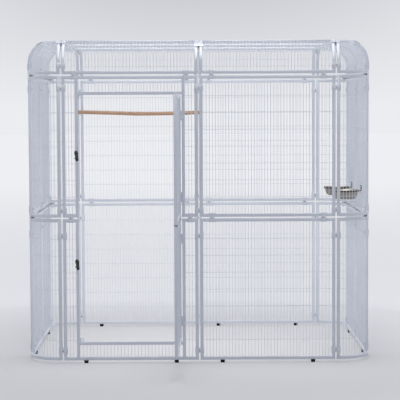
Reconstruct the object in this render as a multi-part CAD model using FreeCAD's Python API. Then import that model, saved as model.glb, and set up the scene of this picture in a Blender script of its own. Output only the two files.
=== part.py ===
import FreeCAD, Part
import math
import os

Vector = FreeCAD.Vector
ORIGIN = Vector(0, 0, 0)
ALONG_X = Vector(1, 0, 0)
ALONG_Y = Vector(0, 1, 0)
UP = Vector(0, 0, 1)

# A walk-in bird cage of bolted welded-wire panels: two wall tiers, a roof with
# rounded edges, and one full-height door. All lengths are in millimetres.

# Size of the whole cage, over its tubes
cage_width = 2170.0
cage_depth = 1575.0
cage_height = 2032.0
corner_radius = 220.0
roof_radius = 140.0

# Square tube of every frame, and the gap between two bolted frames
tube_width = 20.0
joint_gap = 10.0

# Roof's height over its bolted joint, and how much taller the wall is below its middle
# joint than above it
roof_height = 222.0
lower_wall_extra_height = 20.0

# Welded wire: uprights in front, cross wires right behind them
wire_thickness = 2.2
upright_spacing = 20.25
cross_spacing = 105.8
roof_cross_offset = 26.0
roof_cross_spacing = 94.0
roof_cross_count = 3
# One upright in so many, and one cross wire in so many, is a solid
upright_step = 5
cross_step = 2

# Doorway in the front left bay
door_strip_width = 61.5
lintel_depth = 124.0
sill_height = 134.0

# Door leaf, and how far it stands open
leaf_side_clearance = 3.5
leaf_end_clearance = 6.0
leaf_forward_offset = 0.3
door_open_angle = 88.5

# Lift-off door hinges
hinge_axis_offset = 5.0
hinge_barrel_radius = 4.5
hinge_barrel_height = 30.0
hinge_barrel_gap = 0.5
hinge_pin_radius = 2.5
hinge_pin_clearance = 0.05
hinge_pin_tip_length = 2.0
hinge_lug_reach = 16.0
hinge_lug_thickness = 1.7
hinge_inset = 95.0
barrel_sides = 8

# Turn latches on the free jamb, at their distances from the middle joint
lower_latch_distance = 290.0
upper_latch_distance = 392.0
latch_base_height = 46.0
latch_base_thickness = 2.5
latch_ear_reach = 6.5
latch_ear_height = 5.0
latch_ear_offset = 15.0
latch_spacer_radius = 7.0
latch_stud_radius = 4.0
latch_stud_clearance = 0.05
latch_head_radius = 7.0
latch_head_height = 4.0
latch_running_gap = 0.3
latch_bar_length = 66.0
latch_bar_width = 19.0
latch_bar_corner_size = 6.0
latch_bar_thickness = 5.0
latch_tilt_angle = 8.0
latch_knob_radius = 6.0
latch_knob_height = 10.0
latch_knob_offset = 22.0
knob_sides = 12
nut_sides = 6

# Keepers on the leaf that the latch bars cross
keeper_length = 47.0
keeper_width = 16.0
keeper_height = 12.0
keeper_thickness = 2.5
keeper_foot_length = 7.0
keeper_crown_length = 6.0
keeper_gap = 0.7

# Looped tabs that stop the leaf at the doorway's free corners
stop_size = 21.0
stop_hole_size = 11.0
stop_thickness = 2.5

# Plates that clamp two neighbouring frames over their gap
plate_width = 56.0
plate_height = 42.0
plate_thickness = 2.5
plate_inset = 75.0
plate_bend_angle = 67.0
plate_above_floor_offset = 60.0
plate_below_middle_offset = 114.0
plate_above_middle_offset = 45.0
plate_below_roof_offset = 83.0
plate_above_roof_offset = 56.0
jamb_plate_height = 45.0
jamb_plate_thickness = 2.0

# Rubber feet
foot_height = 17.0
foot_width = 28.0
foot_sole_width = 24.0
foot_inset = 145.0

# Perch across the back of the left bay, below the roof joint
perch_depth = 243.0
perch_radius = 14.5
perch_overhang = 15.0
perch_sides = 12
perch_rise_shares = (0.6, 0.1, -0.34, -0.26, 0.3)
perch_swell_shares = (0.95, 1.0, 0.98, 1.0, 0.95)
perch_bolt_radius = 4.0
perch_bolt_clearance = 0.05
perch_bolt_depth = 14.0
perch_washer_radius = 16.0
perch_washer_thickness = 2.0
perch_nut_radius = 7.0
perch_nut_height = 8.0
perch_wing_length = 32.0
perch_wing_thickness = 3.0

# Steel bowls above the middle joint, the hoops that hold them and their clamps
bowl_rim_rise = 144.0
back_bowl_drop = 8.0
bowl_depth = 60.0
bowl_rim_radius = 92.0
bowl_rim_thickness = 3.0
bowl_radius = 87.0
bowl_edge_radius = 76.0
bowl_base_radius = 60.0
bowl_edge_height = 16.0
bowl_wall = 1.5
bowl_sides = 20
bowl_reach = 116.0
hoop_height = 9.0
hoop_clearance = 0.3
arm_width = 8.0
arm_height = 6.0
bracket_width = 30.0
bracket_height = 38.0
bracket_rise = 4.0
bracket_thickness = 3.0
bracket_lip_length = 9.0
clamp_bolt_radius = 3.0
clamp_bolt_clearance = 0.05
clamp_bolt_tip_length = 4.0
clamp_knob_radius = 9.0
clamp_knob_height = 8.0

quarter_turn = 90.0

# Worked out from the sizes above
half_width = cage_width / 2
half_depth = cage_depth / 2
half_gap = joint_gap / 2
half_wire = wire_thickness / 2
corner_x = half_width - corner_radius
corner_y = half_depth - corner_radius
bend_radius = corner_radius - tube_width
joint_x = corner_x - half_gap
joint_y = corner_y - half_gap
roof_joint = cage_height - roof_height
middle_joint = (roof_joint + lower_wall_extra_height) / 2
lintel_bottom = roof_joint - lintel_depth
perch_height = roof_joint - perch_depth
bowl_rim_height = middle_joint + bowl_rim_rise
latch_heights = {
    "lower": middle_joint - lower_latch_distance,
    "upper": middle_joint + upper_latch_distance,
}
roof_start = roof_joint + half_gap
arch_height = cage_height - roof_radius
front_wire_depth = tube_width / 2 - half_wire
back_wire_depth = tube_width / 2 + half_wire
overrun = 2 * tube_width
doorway_left = -joint_x + half_gap + tube_width + door_strip_width + tube_width
doorway_right = -half_gap - tube_width - door_strip_width - tube_width
hinge_x = doorway_right - leaf_side_clearance / 2
leaf_left = doorway_left + leaf_side_clearance
leaf_right = doorway_right - leaf_side_clearance
latch_x = doorway_left - tube_width / 2
latch_bar_back = leaf_forward_offset + keeper_height + keeper_gap
latch_bar_front = latch_bar_back + latch_bar_thickness

# Each wall: its turn about Z from the front, its distance and half its joint spacing
walls = {
    "front": (0, half_depth, joint_x),
    "right": (90, half_width, joint_y),
    "back": (180, half_depth, joint_x),
    "left": (-90, half_width, joint_y),
}
# The two bays of each wall, from left to right as seen from outside
bays = {
    "front": ("left", "right"),
    "right": ("front", "back"),
    "back": ("right", "left"),
    "left": ("back", "front"),
}
corners = {
    "front": ((0, corner_x, -corner_y), (-90, -corner_x, -corner_y)),
    "back": ((90, corner_x, corner_y), (180, -corner_x, corner_y)),
}
tiers = {
    "lower": (foot_height, middle_joint - half_gap),
    "upper": (middle_joint + half_gap, roof_joint - half_gap),
}
leaf_spans = {
    "lower": (sill_height + leaf_end_clearance, middle_joint - half_gap),
    "upper": (middle_joint + half_gap, lintel_bottom - leaf_end_clearance),
}


# Box between two places on each axis
def block(x_span, y_span, z_span):
    sides = [span[1] - span[0] for span in (x_span, y_span, z_span)]
    return Part.makeBox(*sides, Vector(x_span[0], y_span[0], z_span[0]))


# Corners of a level outline of many equal sides round the Z axis
def many_sided_ring(radius, sides, z):
    turns = [2 * math.pi * (i + 1 / 2) / sides for i in range(sides)]
    return [Vector(radius * math.cos(turn), radius * math.sin(turn), z) for turn in turns]


def flat_face(points):
    return Part.Face(Part.makePolygon([*points, points[0]]))


# Solid with flat sides through outlines that have as many corners each
def flat_sided_loft(outlines):
    faces = [flat_face(outlines[0]), flat_face(outlines[-1])]
    for lower, higher in zip(outlines, outlines[1:]):
        for i in range(len(lower)):
            faces.append(flat_face([lower[i - 1], lower[i], higher[i], higher[i - 1]]))
    return Part.makeSolid(Part.makeShell(faces))


def many_sided_rod(radius, sides, start, axis, length):
    rod = flat_face(many_sided_ring(radius, sides, 0)).extrude(UP * length)
    rod.Placement = FreeCAD.Placement(start, FreeCAD.Rotation(UP, axis))
    return rod


# Hole whose flats clear a round shaft
def many_sided_bore(radius, clearance, sides, start, axis, length):
    corner = (radius + clearance) / math.cos(math.pi / sides)
    return many_sided_rod(corner, sides, start - axis * overrun, axis, length + 2 * overrun)


# Moves a shape built with its outer face on Y = 0 to one of the four walls
def in_wall(shape, wall):
    turn, distance, _ = walls[wall]
    shape.translate(Vector(0, -distance, 0))
    shape.rotate(ORIGIN, UP, turn)
    return shape


# Moves a shape built about a corner's own axis to one of the four corners
def at_corner(shape, place):
    turn, x, y = place
    shape.rotate(ORIGIN, UP, turn)
    shape.translate(Vector(x, y, 0))
    return shape


# Everything on the door is built shut and then swung to where the door stands
def on_door(shape):
    shape = in_wall(shape, "front")
    shape.rotate(Vector(hinge_x, -half_depth - hinge_axis_offset, 0), UP, door_open_angle)
    return shape


def bay_spans(wall):
    spacing = walls[wall][2]
    return ((-spacing + half_gap, -half_gap), (half_gap, spacing - half_gap))


# Places of the wires between two tubes, evenly spread at close to their spacing
def wire_places(start, end, spacing, step):
    spaces = round((end - start) / spacing)
    return [start + (end - start) * i / spaces for i in range(step, spaces, step)]


def upright(x, bottom, top):
    depth = (front_wire_depth - half_wire, front_wire_depth + half_wire)
    return block((x - half_wire, x + half_wire), depth, (bottom, top))


def cross_wire(left, right, z):
    depth = (back_wire_depth - half_wire, back_wire_depth + half_wire)
    return block((left, right), depth, (z - half_wire, z + half_wire))


def mesh_wires(left, right, bottom, top):
    uprights = [upright(x, bottom, top) for x in wire_places(left, right, upright_spacing, upright_step)]
    crosses = [cross_wire(left, right, z) for z in wire_places(bottom, top, cross_spacing, cross_step)]
    return uprights + crosses


# Flat frame of square tube: the outline less its windows
def tube_frame(left, right, bottom, top, windows):
    frame = block((left, right), (0, tube_width), (bottom, top))
    for x0, x1, z0, z1 in windows:
        frame = frame.cut(block((x0, x1), (-overrun, tube_width + overrun), (z0, z1)))
    return frame


def flat_panel(left, right, bottom, top):
    window = (left + tube_width, right - tube_width, bottom + tube_width, top - tube_width)
    return [tube_frame(left, right, bottom, top, [window]), *mesh_wires(*window)]


# The two uprights in the middle of a panel, which a bowl's holder is clamped to
def middle_uprights(left, right, bottom, top):
    places = wire_places(left + tube_width, right - tube_width, upright_spacing, 1)
    middle = len(places) // 2
    return [upright(x, bottom + tube_width, top - tube_width) for x in places[middle - 1 : middle + 1]]


# Half of the door bay: a strip of mesh at each side of the doorway and one beyond its end
def door_bay_panel(tier):
    left, right = bay_spans("front")[0]
    bottom, top = tiers[tier]
    if tier == "lower":
        doorway = (doorway_left, doorway_right, sill_height, top + overrun)
        beam = (doorway_left, doorway_right, bottom + tube_width, sill_height - tube_width)
    else:
        doorway = (doorway_left, doorway_right, bottom - overrun, lintel_bottom)
        beam = (doorway_left, doorway_right, lintel_bottom + tube_width, top - tube_width)
    strips = (
        (left + tube_width, doorway_left - tube_width, bottom + tube_width, top - tube_width),
        (doorway_right + tube_width, right - tube_width, bottom + tube_width, top - tube_width),
    )
    frame = tube_frame(left, right, bottom, top, [doorway, beam, *strips])
    wires = mesh_wires(*beam)
    for x0, x1, z0, z1 in strips:
        wires.append(upright((x0 + x1) / 2, z0, z1))
    for place in hinge_places(tier):
        frame = frame.fuse([hinge_barrel(place, 1, 0), hinge_pin(place)])
    return [frame, *wires]


# Heights of the two hinges of one half of the leaf
def hinge_places(tier):
    bottom, top = leaf_spans[tier]
    return (bottom + hinge_inset, top - hinge_inset - 2 * hinge_barrel_height)


# Barrel of a hinge with the lug that is welded to the frame's face beside it.
# The side is 1 for the jamb on the right of the axis and -1 for the leaf.
def hinge_barrel(bottom, side, face_y):
    base = Vector(hinge_x, -hinge_axis_offset, bottom)
    barrel = many_sided_rod(hinge_barrel_radius, barrel_sides, base, UP, hinge_barrel_height)
    x_span = sorted((hinge_x, hinge_x + side * hinge_lug_reach))
    lug = block(x_span, (face_y - hinge_lug_thickness, face_y), (bottom, bottom + hinge_barrel_height))
    return barrel.fuse(lug)


# Pin that stands on the jamb's barrel and that the leaf's barrel drops over
def hinge_pin(bottom):
    base = Vector(hinge_x, -hinge_axis_offset, bottom + hinge_barrel_height)
    length = hinge_barrel_gap + hinge_barrel_height + hinge_pin_tip_length
    return Part.makeCylinder(hinge_pin_radius, length, base, UP)


def door_leaf_panel(tier):
    panel = flat_panel(leaf_left, leaf_right, *leaf_spans[tier])
    for solid in panel:
        solid.translate(ALONG_Y * -leaf_forward_offset)
    frame = panel[0]
    for place in hinge_places(tier):
        bottom = place + hinge_barrel_height + hinge_barrel_gap
        base = Vector(hinge_x, -hinge_axis_offset, bottom)
        bore = many_sided_bore(
            hinge_pin_radius, hinge_pin_clearance, barrel_sides, base, UP, hinge_barrel_height
        )
        frame = frame.fuse(hinge_barrel(bottom, -1, -leaf_forward_offset).cut(bore))
    return [frame, *panel[1:]]


# Level rail bent a quarter turn between the two posts of a corner
def bent_rail(bottom):
    base = Vector(0, 0, bottom)
    rail = Part.makeCylinder(bend_radius, tube_width, base, UP, quarter_turn)
    rail = rail.cut(Part.makeCylinder(bend_radius - tube_width, tube_width, base, UP, quarter_turn))
    rail.rotate(ORIGIN, UP, -quarter_turn)
    rail.translate(Vector(tube_width, -tube_width, 0))
    return rail


def corner_panel(bottom, top):
    front_post = block((0, tube_width), (-corner_radius, -bend_radius), (bottom, top))
    side_post = block((bend_radius, corner_radius), (-tube_width, 0), (bottom, top))
    frame = front_post.fuse([side_post, bent_rail(bottom), bent_rail(top - tube_width)])
    wire_radius = bend_radius - front_wire_depth
    wires = []
    for place in wire_places(0, wire_radius * math.pi / 2, upright_spacing, upright_step):
        bar = upright(0, bottom + tube_width, top - tube_width)
        bar.translate(Vector(0, -bend_radius, 0))
        bar.rotate(ORIGIN, UP, math.degrees(place / wire_radius))
        bar.translate(Vector(tube_width, -tube_width, 0))
        wires.append(bar)
    return [frame, *wires]


# Strip that follows the roof's edge, straight up, round a quarter arch and then level,
# between two depths below the outer skin
def arched_strip(x_span, skin, depth, start, reach):
    outer = roof_radius - skin
    inner = roof_radius - depth
    diagonal = math.sqrt(1 / 2)

    def on_arch(radius, back, rise):
        return Vector(x_span[0], roof_radius - radius * back, arch_height + radius * rise)

    outside = [on_arch(outer, 1, 0), on_arch(outer, diagonal, diagonal), on_arch(outer, 0, 1)]
    inside = [on_arch(inner, 0, 1), on_arch(inner, diagonal, diagonal), on_arch(inner, 1, 0)]
    foot_out = Vector(x_span[0], skin, start)
    foot_in = Vector(x_span[0], depth, start)
    end_out = Vector(x_span[0], reach, arch_height + outer)
    end_in = Vector(x_span[0], reach, arch_height + inner)
    edges = [
        Part.LineSegment(foot_out, outside[0]),
        Part.Arc(*outside),
        Part.LineSegment(outside[2], end_out),
        Part.LineSegment(end_out, end_in),
        Part.LineSegment(end_in, inside[0]),
        Part.Arc(*inside),
        Part.LineSegment(inside[2], foot_in),
        Part.LineSegment(foot_in, foot_out),
    ]
    outline = Part.Wire([edge.toShape() for edge in edges])
    return Part.Face(outline).extrude(ALONG_X * (x_span[1] - x_span[0]))


# Level wire of the roof's edge, at a length along the mesh from the bottom rail
def roof_cross_wire(left, right, length):
    rise = arch_height - roof_start - tube_width
    radius = roof_radius - back_wire_depth
    if length <= rise:
        y = back_wire_depth
        z = roof_start + tube_width + length
    else:
        turn = min((length - rise) / radius, math.pi / 2)
        y = roof_radius - radius * math.cos(turn)
        z = arch_height + radius * math.sin(turn)
    return block((left, right), (y - half_wire, y + half_wire), (z - half_wire, z + half_wire))


def roof_edge_panel(left, right):
    inner_left = left + tube_width
    inner_right = right - tube_width
    arches = [
        arched_strip(span, 0, tube_width, roof_start, corner_radius)
        for span in ((left, inner_left), (inner_right, right))
    ]
    rail_span = (inner_left, inner_right)
    low_rail = block(rail_span, (0, tube_width), (roof_start, roof_start + tube_width))
    high_rail = block(rail_span, (bend_radius, corner_radius), (cage_height - tube_width, cage_height))
    frame = arches[0].fuse([arches[1], low_rail, high_rail])
    lengths = [roof_cross_offset + i * roof_cross_spacing for i in range(roof_cross_count)]
    return [frame, *[roof_cross_wire(inner_left, inner_right, length) for length in lengths]]


# Two arches that meet at the top, on one bent rail
def roof_corner_cap():
    front_arch = arched_strip((0, tube_width), 0, tube_width, roof_start, corner_radius)
    side_arch = arched_strip((-tube_width, 0), 0, tube_width, roof_start, corner_radius)
    for arch in (front_arch, side_arch):
        arch.translate(Vector(0, -corner_radius, 0))
    side_arch.rotate(ORIGIN, UP, quarter_turn)
    return front_arch.fuse([side_arch, bent_rail(roof_start)])


# Level roof panel over one quarter of the cage
def roof_top_panel(x_side, y_side):
    panel = flat_panel(half_gap, joint_x - half_gap, half_gap, joint_y - half_gap)
    for solid in panel:
        solid.rotate(ORIGIN, ALONG_X, -quarter_turn)
        solid.translate(UP * cage_height)
    if x_side < 0:
        panel = [solid.mirror(ORIGIN, ALONG_X) for solid in panel]
    if y_side < 0:
        panel = [solid.mirror(ORIGIN, ALONG_Y) for solid in panel]
    return panel


# Plate on the jamb with a spacer and the headed stud that the latch bar turns on
def latch_base(z):
    half = latch_base_height / 2
    jamb_left = latch_x - tube_width / 2
    plate = block((jamb_left, jamb_left + tube_width), (-latch_base_thickness, 0), (z - half, z + half))
    pieces = []
    for side in (-1, 1):
        ear_bottom = z + side * latch_ear_offset - latch_ear_height / 2
        ear_span = (ear_bottom, ear_bottom + latch_ear_height)
        pieces.append(block((jamb_left - latch_ear_reach, jamb_left), (-latch_base_thickness, 0), ear_span))
    forward = -ALONG_Y
    centre = Vector(latch_x, 0, z)
    spacer_start = centre + forward * latch_base_thickness
    stud_start = centre + forward * (latch_bar_back - latch_running_gap)
    head_start = centre + forward * (latch_bar_front + latch_running_gap)
    spacer_length = (stud_start - spacer_start).Length
    stud_length = (head_start - stud_start).Length
    pieces.append(many_sided_rod(latch_spacer_radius, nut_sides, spacer_start, forward, spacer_length))
    pieces.append(Part.makeCylinder(latch_stud_radius, stud_length, stud_start, forward))
    pieces.append(many_sided_rod(latch_head_radius, nut_sides, head_start, forward, latch_head_height))
    return plate.fuse(pieces)


# Bar with clipped corners and a finger knob, hanging a little off plumb
def latch_bar(z):
    half_length = latch_bar_length / 2
    half_width = latch_bar_width / 2
    inset_length = half_length - latch_bar_corner_size
    inset_width = half_width - latch_bar_corner_size
    outline = [
        (half_width, inset_length),
        (inset_width, half_length),
        (-inset_width, half_length),
        (-half_width, inset_length),
        (-half_width, -inset_length),
        (-inset_width, -half_length),
        (inset_width, -half_length),
        (half_width, -inset_length),
    ]
    points = [Vector(latch_x + x, -latch_bar_back, z + rise) for x, rise in outline]
    forward = -ALONG_Y
    bar = flat_face(points).extrude(forward * latch_bar_thickness)
    centre = Vector(latch_x, -latch_bar_back, z)
    knob_start = centre + UP * latch_knob_offset
    knob_length = latch_bar_thickness + latch_knob_height
    knob = many_sided_rod(latch_knob_radius, knob_sides, knob_start, forward, knob_length)
    bore = many_sided_bore(
        latch_stud_radius, latch_stud_clearance, barrel_sides, centre, forward, latch_bar_thickness
    )
    bar = bar.fuse(knob).cut(bore)
    bar.rotate(centre, ALONG_Y, -latch_tilt_angle)
    return bar


# Bent strap whose crown the latch bar crosses
def keeper(z):
    face = -leaf_forward_offset
    crown_y = face - keeper_height
    half_length = keeper_length / 2
    half_crown = keeper_crown_length / 2
    foot_end = half_length - keeper_foot_length
    upper_half = [
        (face, foot_end),
        (face, half_length),
        (face - keeper_thickness, half_length),
        (face - keeper_thickness, foot_end),
        (crown_y, half_crown),
    ]
    inner_crown = (crown_y + keeper_thickness, half_crown)
    mirrored = [(y, -rise) for y, rise in reversed([inner_crown, *upper_half])]
    x = leaf_left + tube_width / 2 - keeper_width / 2
    points = [Vector(x, y, z + rise) for y, rise in [inner_crown, *upper_half, *mirrored]]
    return flat_face(points).extrude(ALONG_X * keeper_width)


# Looped tab behind one corner of the doorway
def door_stop(bottom):
    top = bottom + stop_size
    margin = (stop_size - stop_hole_size) / 2
    depth = (tube_width, tube_width + stop_thickness)
    tab = block((latch_x, doorway_left + stop_size), depth, (bottom, top))
    hole_x = (doorway_left + margin, doorway_left + stop_size - margin)
    hole = block(hole_x, (tube_width - overrun, tube_width + overrun), (bottom + margin, top - margin))
    return tab.cut(hole)


# Clamp plate centred at a place on a frame's face, over an upright or a level joint
def clamp_plate(x, z, across):
    half_x = plate_width / 2 if across else plate_height / 2
    half_z = plate_height / 2 if across else plate_width / 2
    return block((x - half_x, x + half_x), (-plate_thickness, 0), (z - half_z, z + half_z))


def wall_plates(wall):
    spacing = walls[wall][2]
    heights = (
        foot_height + plate_above_floor_offset,
        middle_joint - plate_below_middle_offset,
        middle_joint + plate_above_middle_offset,
        roof_joint - plate_below_roof_offset,
        roof_joint + plate_above_roof_offset,
    )
    plates = [clamp_plate(x, z, True) for x in (-spacing, 0, spacing) for z in heights]
    for left, right in bay_spans(wall):
        for z in (middle_joint, roof_joint):
            door_joint = wall == "front" and right < 0 and z == middle_joint
            inset = tube_width + door_strip_width / 2 if door_joint else plate_inset
            plates += [clamp_plate(x, z, False) for x in (left + inset, right - inset)]
    return plates


# Plate over a corner's two bent rails, so many degrees round their bend
def corner_plate(z, bend_angle):
    plate = clamp_plate(0, z, False)
    plate.translate(Vector(0, -bend_radius, 0))
    plate.rotate(ORIGIN, UP, bend_angle)
    plate.translate(Vector(tube_width, -tube_width, 0))
    return plate


# Plate under the joint between a roof edge and a level roof panel
def roof_plate(x_side, y_side):
    x = x_side * joint_x / 2
    y = y_side * joint_y
    x_span = (x - plate_height / 2, x + plate_height / 2)
    y_span = (y - plate_width / 2, y + plate_width / 2)
    underside = cage_height - tube_width
    return block(x_span, y_span, (underside - plate_thickness, underside))


# Plate inside the doorway over the joint of the two jamb halves
def jamb_plate(x_span):
    half = jamb_plate_height / 2
    return block(x_span, (0, tube_width), (middle_joint - half, middle_joint + half))


def door_plate(x):
    plate = clamp_plate(x, middle_joint, False)
    plate.translate(ALONG_Y * -leaf_forward_offset)
    return plate


def foot(x):
    outlines = []
    for width, z in ((foot_sole_width, 0), (foot_width, foot_height)):
        half = width / 2
        square = ((-half, -half), (half, -half), (half, half), (-half, half))
        outlines.append([Vector(x + along, tube_width / 2 + across, z) for along, across in square])
    return flat_sided_loft(outlines)


# Branch that bears on the back wall's inner face, swelling and sagging a little
perch_y = half_depth - tube_width - perch_radius * max(perch_swell_shares) * math.cos(math.pi / perch_sides)
perch_left = -joint_x - perch_overhang
perch_length = joint_x + 2 * perch_overhang


def perch_axis_height(x):
    spans = len(perch_rise_shares) - 1
    place = (x - perch_left) / perch_length * spans
    first = min(int(place), spans - 1)
    before, after = perch_rise_shares[first : first + 2]
    return perch_height + perch_radius * (before + (after - before) * (place - first))


def perch_branch():
    sections = []
    spans = len(perch_swell_shares) - 1
    for i, swell in enumerate(perch_swell_shares):
        x = perch_left + perch_length * i / spans
        ring = many_sided_ring(perch_radius * swell, perch_sides, 0)
        z = perch_axis_height(x)
        sections.append([Vector(x, perch_y + point.x, z + point.y) for point in ring])
    branch = flat_sided_loft(sections)
    for x in (-joint_x, 0):
        branch = branch.cut(perch_bolt_shank(x, perch_bolt_radius + perch_bolt_clearance))
    return branch


def perch_bolt_shank(x, radius):
    start = Vector(x, half_depth - tube_width - perch_bolt_depth, perch_axis_height(x))
    length = perch_bolt_depth + tube_width + perch_washer_thickness + perch_nut_height
    return many_sided_rod(radius, barrel_sides, start, ALONG_Y, length)


# Screw through the gap of a back joint, with a washer and a wing nut outside
def perch_bolt(x):
    z = perch_axis_height(x)
    outside = Vector(x, half_depth, z)
    nut_base = outside + ALONG_Y * perch_washer_thickness
    washer = many_sided_rod(perch_washer_radius, barrel_sides, outside, ALONG_Y, perch_washer_thickness)
    nut = many_sided_rod(perch_nut_radius, nut_sides, nut_base, ALONG_Y, perch_nut_height)
    half_span = perch_wing_length / 2
    half_wing = perch_wing_thickness / 2
    wings = block(
        (x - half_span, x + half_span),
        (nut_base.y, nut_base.y + perch_nut_height),
        (z - half_wing, z + half_wing),
    )
    return perch_bolt_shank(x, perch_bolt_radius).fuse([washer, nut, wings])


# Bowls hang by their rims in hoops, each in the middle of a bay of the right wall
bowl_x = half_width - bowl_reach
bowl_y = joint_y / 2
bowl_bottom = bowl_rim_height - bowl_depth
hoop_top = bowl_rim_height - bowl_rim_thickness
hoop_bottom = hoop_top - hoop_height
bracket_bottom = hoop_bottom + bracket_rise
bracket_top = bracket_bottom + bracket_height
bracket_outer = half_width - front_wire_depth - half_wire
clamp_inner = half_width - front_wire_depth + half_wire


def bowl(y):
    edge_top = bowl_bottom + bowl_edge_height

    def cup(inset, bottom, top):
        rings = ((bowl_base_radius, bottom), (bowl_edge_radius, edge_top), (bowl_radius, top))
        return flat_sided_loft([many_sided_ring(radius - inset, bowl_sides, z) for radius, z in rings])

    dish = cup(0, bowl_bottom, hoop_top)
    rim_base = Vector(0, 0, hoop_top)
    dish = dish.fuse(many_sided_rod(bowl_rim_radius, bowl_sides, rim_base, UP, bowl_rim_thickness))
    dish = dish.cut(cup(bowl_wall, bowl_bottom + bowl_wall, bowl_rim_height))
    dish.translate(Vector(bowl_x, y, 0))
    return dish


# Hoop and arm with the hooked bracket that lies against the inside of the wires
def bowl_hoop(y):
    centre = Vector(bowl_x, y, hoop_bottom)
    hoop = many_sided_rod(bowl_rim_radius, bowl_sides, centre, UP, hoop_height)
    bracket_inner = bracket_outer - bracket_thickness
    half = bracket_width / 2
    bracket = block((bracket_inner, bracket_outer), (y - half, y + half), (bracket_bottom, bracket_top))
    lip_x = (bracket_inner - bracket_lip_length, bracket_inner)
    lip = block(lip_x, (y - half, y + half), (bracket_top - bracket_thickness, bracket_top))
    arm_start = bowl_x + bowl_radius + (bowl_rim_radius - bowl_radius) / 2
    arm = [
        Vector(arm_start, y - arm_width / 2, hoop_bottom),
        Vector(bracket_inner, y - arm_width / 2, bracket_bottom),
        Vector(bracket_inner, y - arm_width / 2, bracket_bottom + arm_height),
        Vector(arm_start, y - arm_width / 2, hoop_bottom + arm_height),
    ]
    arm = flat_face(arm).extrude(ALONG_Y * arm_width)
    hole_start = Vector(bracket_inner, y, (bracket_bottom + bracket_top) / 2)
    hole_radius = clamp_bolt_radius + clamp_bolt_clearance
    holder = hoop.fuse([arm, bracket, lip])
    holder = holder.cut(many_sided_rod(bowl_radius + hoop_clearance, bowl_sides, centre, UP, hoop_height))
    return holder.cut(many_sided_rod(hole_radius, barrel_sides, hole_start, ALONG_X, bracket_thickness))


# Outer plate with the bolt and knob that draw the bracket against the wires
def bowl_clamp(y):
    half = bracket_width / 2
    clamp_outer = clamp_inner + bracket_thickness
    plate = block((clamp_inner, clamp_outer), (y - half, y + half), (bracket_bottom, bracket_top))
    z = (bracket_bottom + bracket_top) / 2
    bolt_start = Vector(bracket_outer - bracket_thickness - clamp_bolt_tip_length, y, z)
    knob_start = Vector(clamp_outer, y, z)
    bolt_length = clamp_outer - bolt_start.x
    bolt = many_sided_rod(clamp_bolt_radius, barrel_sides, bolt_start, ALONG_X, bolt_length)
    knob = many_sided_rod(clamp_knob_radius, knob_sides, knob_start, ALONG_X, clamp_knob_height)
    return plate.fuse([bolt, knob])


nodes = {}

roof_edges = {"long": [], "short": []}
for wall, names in bays.items():
    length = "long" if wall in ("front", "back") else "short"
    for name, (left, right) in zip(names, bay_spans(wall)):
        roof_edges[length] += [in_wall(solid, wall) for solid in roof_edge_panel(left, right)]
        if (wall, name) == ("front", "left"):
            continue
        for tier, (bottom, top) in tiers.items():
            panel = flat_panel(left, right, bottom, top)
            if (wall, tier) == ("right", "upper"):
                panel += middle_uprights(left, right, bottom, top)
            nodes[f"{wall}_{name}_{tier}_panel"] = [in_wall(solid, wall) for solid in panel]
    nodes[f"{wall}_clamp_plates"] = [in_wall(plate, wall) for plate in wall_plates(wall)]
for length, panels in roof_edges.items():
    nodes[f"roof_{length}_edges"] = panels

for tier in tiers:
    nodes[f"door_bay_{tier}_panel"] = [in_wall(solid, "front") for solid in door_bay_panel(tier)]
    nodes[f"door_leaf_{tier}_panel"] = [on_door(solid) for solid in door_leaf_panel(tier)]

corner_plates = []
for end, places in corners.items():
    for tier, (bottom, top) in tiers.items():
        panels = [at_corner(solid, place) for place in places for solid in corner_panel(bottom, top)]
        nodes[f"{end}_{tier}_corners"] = panels
    nodes[f"roof_{end}_corners"] = [at_corner(roof_corner_cap(), place) for place in places]
    for z in (middle_joint, roof_joint):
        for place in places:
            starts_at_side_wall = place[0] in (-quarter_turn, quarter_turn)
            bend_angle = quarter_turn - plate_bend_angle if starts_at_side_wall else plate_bend_angle
            corner_plates.append(at_corner(corner_plate(z, bend_angle), place))
nodes["corner_clamp_plates"] = corner_plates

roof_plates = []
for x_name, x_side in (("left", -1), ("right", 1)):
    for y_name, y_side in (("front", -1), ("back", 1)):
        nodes[f"roof_top_{y_name}_{x_name}_panel"] = roof_top_panel(x_side, y_side)
        roof_plates.append(roof_plate(x_side, y_side))
nodes["roof_clamp_plates"] = roof_plates

for name, z in latch_heights.items():
    nodes[f"{name}_latch_base"] = [in_wall(latch_base(z), "front")]
    nodes[f"{name}_latch_bar"] = [in_wall(latch_bar(z), "front")]
nodes["door_keepers"] = [on_door(keeper(z)) for z in latch_heights.values()]
leaf_plate_places = (leaf_left + plate_inset, leaf_right - plate_inset)
nodes["door_clamp_plates"] = [on_door(door_plate(x)) for x in leaf_plate_places]
nodes["door_stops"] = [in_wall(door_stop(z), "front") for z in (sill_height, lintel_bottom - stop_size)]
jamb_faces = (
    (doorway_left, doorway_left + jamb_plate_thickness),
    (doorway_right - jamb_plate_thickness, doorway_right),
)
nodes["jamb_plates"] = [in_wall(jamb_plate(x_span), "front") for x_span in jamb_faces]

feet = []
for wall, (_, _, spacing) in walls.items():
    places = [-spacing + foot_inset, spacing - foot_inset]
    if wall in ("front", "back"):
        places += [-foot_inset, foot_inset]
    feet += [in_wall(foot(x), wall) for x in places]
nodes["rubber_feet"] = feet

nodes["perch"] = [perch_branch()]
nodes["perch_bolts"] = [perch_bolt(x) for x in (-joint_x, 0)]
for name, y, drop in (("front", -bowl_y, 0), ("back", bowl_y, back_bowl_drop)):
    for piece, solid in (("bowl", bowl(y)), ("bowl_hoop", bowl_hoop(y)), ("bowl_clamp", bowl_clamp(y))):
        solid.translate(UP * -drop)
        nodes[f"{name}_{piece}"] = [solid]

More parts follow.
